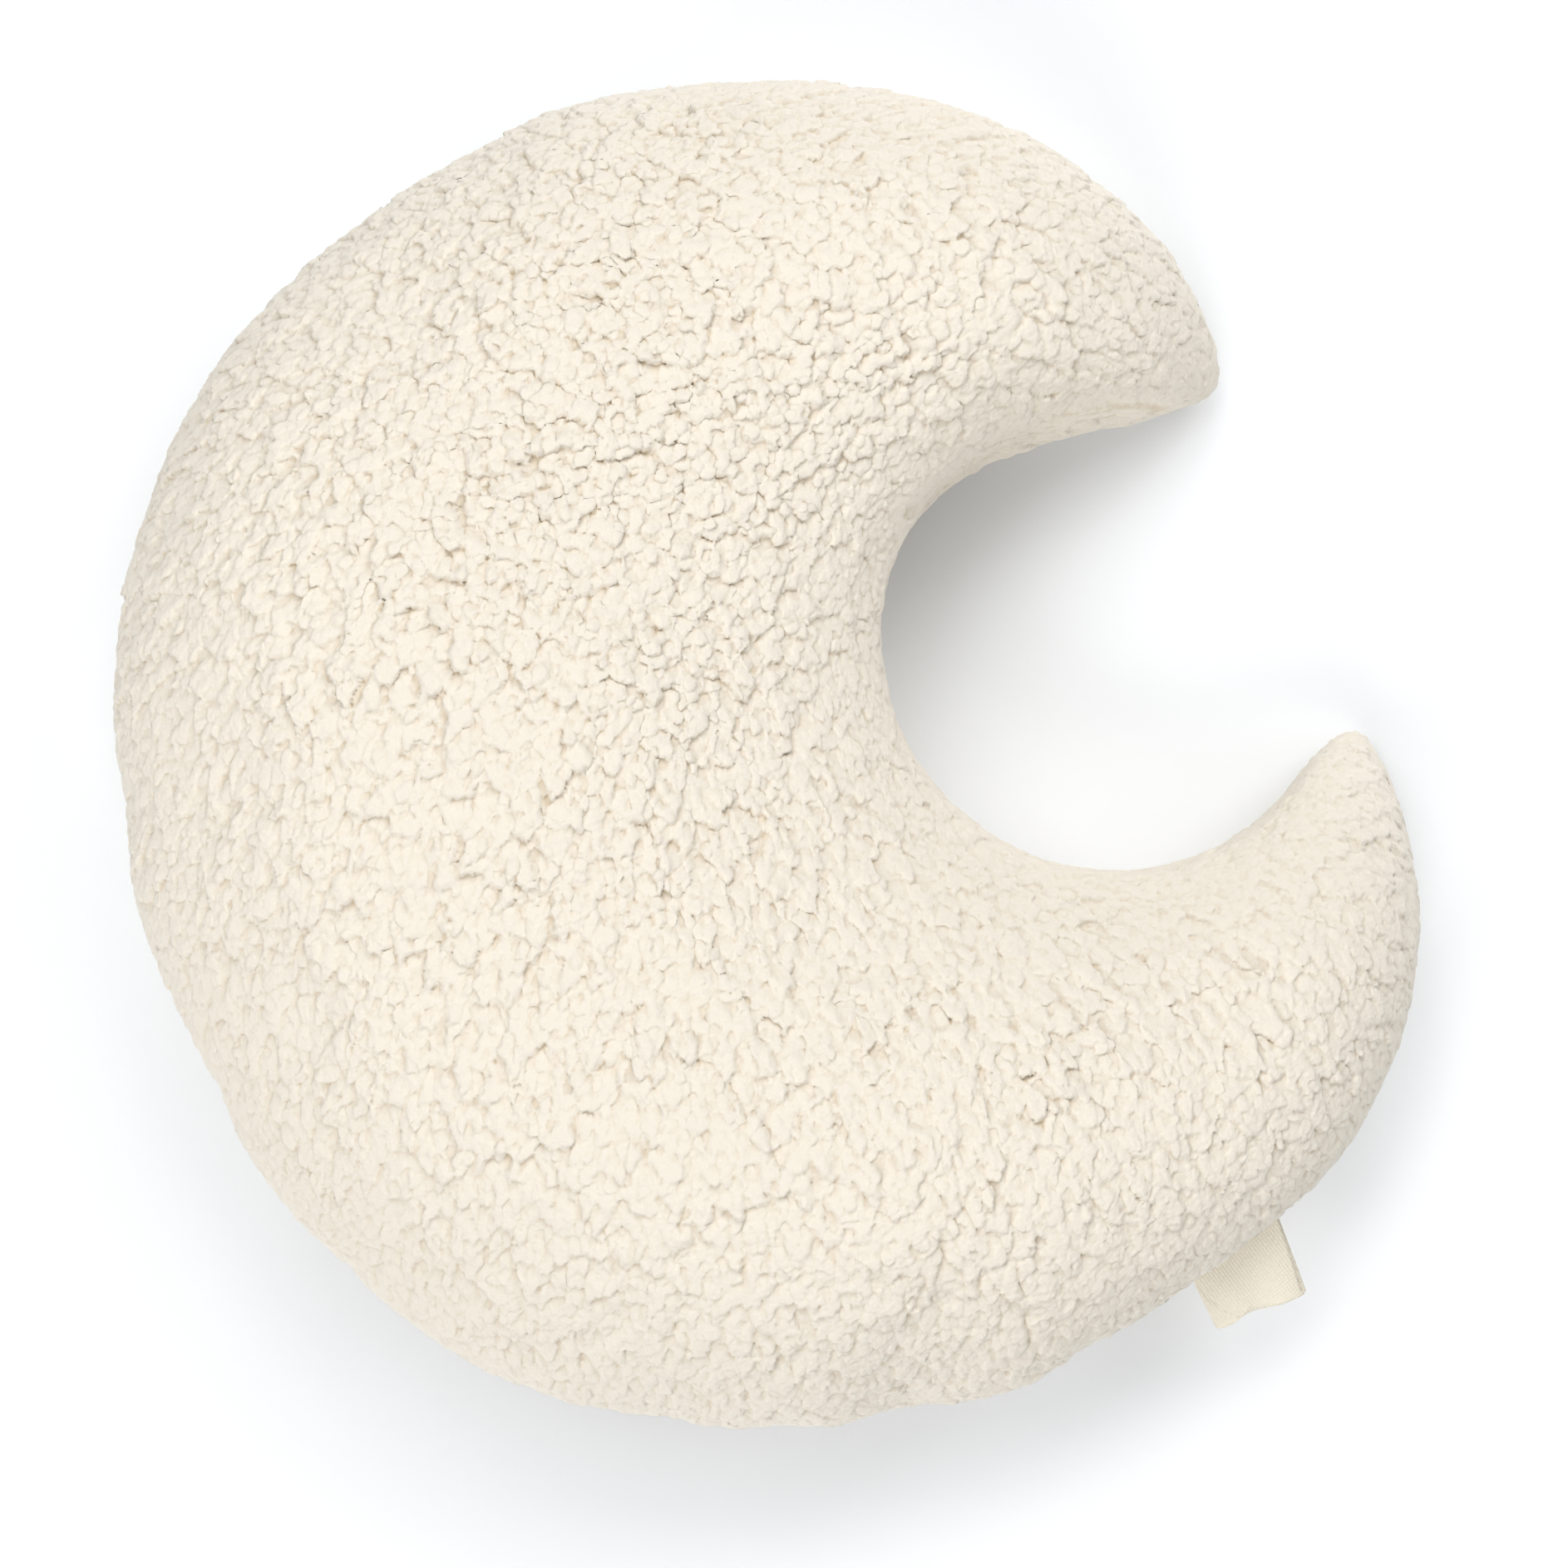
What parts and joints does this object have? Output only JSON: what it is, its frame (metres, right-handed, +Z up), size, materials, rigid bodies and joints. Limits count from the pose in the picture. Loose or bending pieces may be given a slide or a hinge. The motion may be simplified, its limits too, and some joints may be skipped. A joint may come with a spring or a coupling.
{
  "type": "moon cushion",
  "caption": "Plump filled cushion in the shape of a crescent moon, covered in curly pile cloth, with a blank folded label in its outer seam.",
  "frame": {"origin": "on the floor, under the middle of the bounding box of the cushion and its label", "axes": "+Z up, out of the cushion's face as it lies on its back; +X along the crescent's middle line, from its round back to the mouth between the horns; +Y across, towards the plumper horn"},
  "size_m": [0.3778, 0.419, 0.1118],
  "materials": {
    "sherpa": "curly cream pile, matt",
    "cotton_tape": "plain woven cream cotton tape, matt"
  },
  "bodies": {
    "root": {"cushion": "sherpa", "label": "cotton_tape"}
  },
  "joints": []
}
